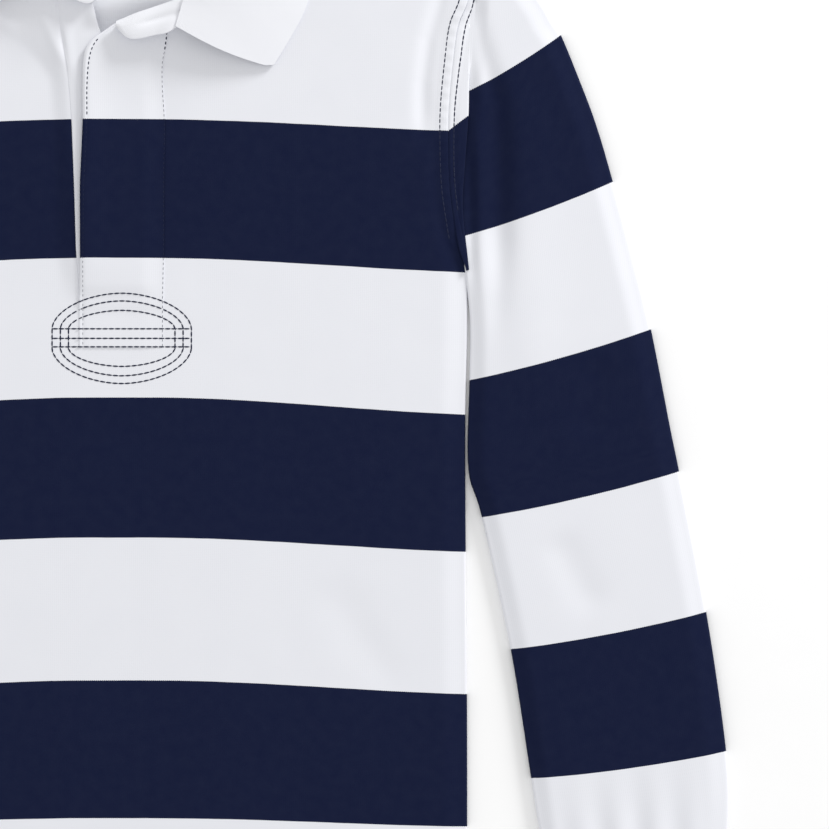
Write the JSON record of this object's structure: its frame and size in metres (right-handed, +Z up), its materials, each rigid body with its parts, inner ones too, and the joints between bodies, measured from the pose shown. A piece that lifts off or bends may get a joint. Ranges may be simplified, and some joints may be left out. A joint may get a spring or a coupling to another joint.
{
  "type": "child's long-sleeved rugby polo shirt, laid flat",
  "caption": "Long-sleeved striped rugby polo shirt laid flat on its back, with a turned-down collar, a covered placket with a stitched oval, and ribbed cuffs.",
  "frame": {"origin": "on the surface it lies on, under the middle of the whole shirt", "axes": "+Z up from the surface through the front panel, +Y from the hem to the collar, +X to the wearer's left sleeve"},
  "size_m": [0.6606, 0.6214, 0.0177],
  "materials": {
    "striped_jersey": "heavy cotton jersey in even navy and white stripes, matt",
    "white_cotton": "plain white cotton, matt",
    "collar_twill": "plain white cotton twill, matt",
    "white_rib": "white ribbed cotton knit, matt"
  },
  "bodies": {
    "root": {"back": "striped_jersey", "front": "striped_jersey", "sleeve_left": "striped_jersey", "sleeve_right": "striped_jersey", "placket_over": "striped_jersey", "placket_under": "white_cotton", "collar_stand": "collar_twill", "collar": "collar_twill", "cuff_left": "white_rib", "cuff_right": "white_rib"}
  },
  "joints": []
}
